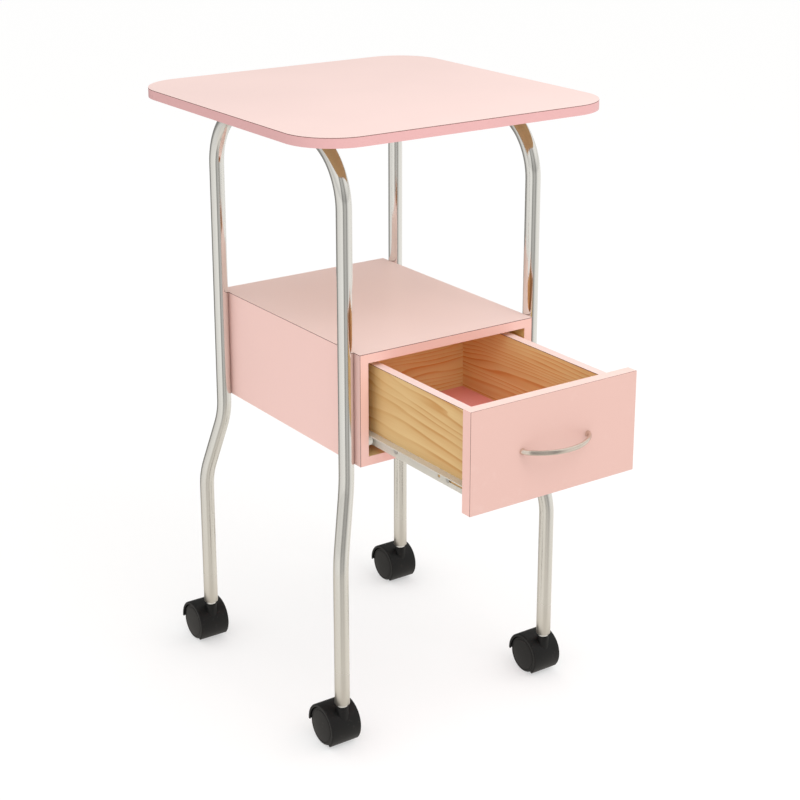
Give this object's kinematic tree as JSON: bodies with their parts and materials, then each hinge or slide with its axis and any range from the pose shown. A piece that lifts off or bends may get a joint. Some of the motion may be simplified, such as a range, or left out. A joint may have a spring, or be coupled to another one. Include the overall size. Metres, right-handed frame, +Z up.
{
  "type": "manicure table",
  "caption": "Nail technician's table: a rounded pink top on two bent chrome tubes, a case with a drawer on roller runners between them, and twin-wheel swivel castors.",
  "frame": {"origin": "on the floor under the middle of the tabletop", "axes": "+Z up, -Y the front, where the drawer opens, +X to the right seen from the front"},
  "size_m": [0.438, 0.6271, 0.784],
  "materials": {
    "pale_laminate": "satin laminate",
    "pink_laminate": "satin laminate",
    "deep_pink_board": "matte melamine",
    "raw_board": "raw fibreboard",
    "pine": "bare sanded pine",
    "chrome": "polished",
    "zinc": "bright zinc",
    "satin_nickel": "satin",
    "coated_steel": "powder coat",
    "nylon": "matte",
    "black_plastic": "satin",
    "black_tread": "satin"
  },
  "bodies": {
    "table": {"tabletop_core": "raw_board", "tabletop_laminate": "pale_laminate", "tabletop_edge_band": "pink_laminate", "left_frame_tube": "chrome", "right_frame_tube": "chrome", "tabletop_screws": "zinc", "case_screws": "zinc", "case_top_panel": "raw_board", "case_bottom_panel": "pink_laminate", "case_left_panel": "raw_board", "case_right_panel": "raw_board", "case_back_panel": "pink_laminate", "case_dowels": "pine", "case_top_laminate": "pale_laminate", "case_left_laminate": "pink_laminate", "case_right_laminate": "pink_laminate", "case_edge_band": "pink_laminate", "left_case_runner": "coated_steel", "right_case_runner": "coated_steel", "case_roller_rivets": "zinc", "case_runner_screws": "zinc", "castor_sockets": "black_plastic", "castor_stems": "zinc"},
    "drawer": {"drawer_front_core": "raw_board", "drawer_front_laminate": "pink_laminate", "drawer_front_edge_band": "pale_laminate", "drawer_left_side": "pine", "drawer_right_side": "pine", "drawer_back": "pine", "drawer_bottom": "deep_pink_board", "drawer_top_bands": "pale_laminate", "drawer_dowels": "pine", "drawer_handle": "satin_nickel", "handle_screws": "zinc", "left_drawer_runner": "coated_steel", "right_drawer_runner": "coated_steel", "drawer_roller_rivets": "zinc", "drawer_runner_screws": "zinc"},
    "left_case_roller": {"left_case_roller": "nylon"},
    "right_case_roller": {"right_case_roller": "nylon"},
    "left_drawer_roller": {"left_drawer_roller": "nylon"},
    "right_drawer_roller": {"right_drawer_roller": "nylon"},
    "front_left_castor": {"front_left_hood": "black_plastic", "front_left_axle": "zinc"},
    "front_left_outer_wheel": {"front_left_outer_wheel": "black_tread"},
    "front_left_inner_wheel": {"front_left_inner_wheel": "black_tread"},
    "front_right_castor": {"front_right_hood": "black_plastic", "front_right_axle": "zinc"},
    "front_right_outer_wheel": {"front_right_outer_wheel": "black_tread"},
    "front_right_inner_wheel": {"front_right_inner_wheel": "black_tread"},
    "back_left_castor": {"back_left_hood": "black_plastic", "back_left_axle": "zinc"},
    "back_left_outer_wheel": {"back_left_outer_wheel": "black_tread"},
    "back_left_inner_wheel": {"back_left_inner_wheel": "black_tread"},
    "back_right_castor": {"back_right_hood": "black_plastic", "back_right_axle": "zinc"},
    "back_right_outer_wheel": {"back_right_outer_wheel": "black_tread"},
    "back_right_inner_wheel": {"back_right_inner_wheel": "black_tread"}
  },
  "joints": [
    {"name": "drawer_slide", "type": "slide", "parent": "table", "child": "drawer", "axis": [0, -1, 0], "range_m": [-0.19, 0.035]},
    {"name": "left_case_roller_spin", "type": "hinge", "parent": "table", "child": "left_case_roller", "pos_m": [-0.11325, -0.161, 0.3962], "axis": [1, 0, 0], "continuous": true},
    {"name": "left_drawer_roller_spin", "type": "hinge", "parent": "drawer", "child": "left_drawer_roller", "pos_m": [-0.11025, -0.0725, 0.3947], "axis": [1, 0, 0], "continuous": true},
    {"name": "right_case_roller_spin", "type": "hinge", "parent": "table", "child": "right_case_roller", "pos_m": [0.11325, -0.161, 0.3962], "axis": [1, 0, 0], "continuous": true},
    {"name": "right_drawer_roller_spin", "type": "hinge", "parent": "drawer", "child": "right_drawer_roller", "pos_m": [0.11025, -0.0725, 0.3947], "axis": [1, 0, 0], "continuous": true},
    {"name": "front_left_swivel", "type": "hinge", "parent": "table", "child": "front_left_castor", "pos_m": [-0.16065, -0.1725, 0.056], "axis": [0, 0, 1], "continuous": true},
    {"name": "front_left_outer_spin", "type": "hinge", "parent": "front_left_castor", "child": "front_left_outer_wheel", "pos_m": [-0.16065, -0.1545, 0.025], "axis": [1, 0, 0], "continuous": true},
    {"name": "front_left_inner_spin", "type": "hinge", "parent": "front_left_castor", "child": "front_left_inner_wheel", "pos_m": [-0.16065, -0.1545, 0.025], "axis": [1, 0, 0], "continuous": true},
    {"name": "front_right_swivel", "type": "hinge", "parent": "table", "child": "front_right_castor", "pos_m": [0.16065, -0.1725, 0.056], "axis": [0, 0, 1], "continuous": true},
    {"name": "front_right_outer_spin", "type": "hinge", "parent": "front_right_castor", "child": "front_right_outer_wheel", "pos_m": [0.16065, -0.1545, 0.025], "axis": [1, 0, 0], "continuous": true},
    {"name": "front_right_inner_spin", "type": "hinge", "parent": "front_right_castor", "child": "front_right_inner_wheel", "pos_m": [0.16065, -0.1545, 0.025], "axis": [1, 0, 0], "continuous": true},
    {"name": "back_left_swivel", "type": "hinge", "parent": "table", "child": "back_left_castor", "pos_m": [-0.16065, 0.1645, 0.056], "axis": [0, 0, 1], "continuous": true},
    {"name": "back_left_outer_spin", "type": "hinge", "parent": "back_left_castor", "child": "back_left_outer_wheel", "pos_m": [-0.16065, 0.1825, 0.025], "axis": [1, 0, 0], "continuous": true},
    {"name": "back_left_inner_spin", "type": "hinge", "parent": "back_left_castor", "child": "back_left_inner_wheel", "pos_m": [-0.16065, 0.1825, 0.025], "axis": [1, 0, 0], "continuous": true},
    {"name": "back_right_swivel", "type": "hinge", "parent": "table", "child": "back_right_castor", "pos_m": [0.16065, 0.1645, 0.056], "axis": [0, 0, 1], "continuous": true},
    {"name": "back_right_outer_spin", "type": "hinge", "parent": "back_right_castor", "child": "back_right_outer_wheel", "pos_m": [0.16065, 0.1825, 0.025], "axis": [1, 0, 0], "continuous": true},
    {"name": "back_right_inner_spin", "type": "hinge", "parent": "back_right_castor", "child": "back_right_inner_wheel", "pos_m": [0.16065, 0.1825, 0.025], "axis": [1, 0, 0], "continuous": true}
  ],
  "couplings": [
    {"joint": "left_case_roller_spin", "follows": "drawer_slide", "rad_per_m": 142.86},
    {"joint": "left_drawer_roller_spin", "follows": "drawer_slide", "rad_per_m": 142.86},
    {"joint": "right_case_roller_spin", "follows": "drawer_slide", "rad_per_m": 142.86},
    {"joint": "right_drawer_roller_spin", "follows": "drawer_slide", "rad_per_m": 142.86}
  ]
}
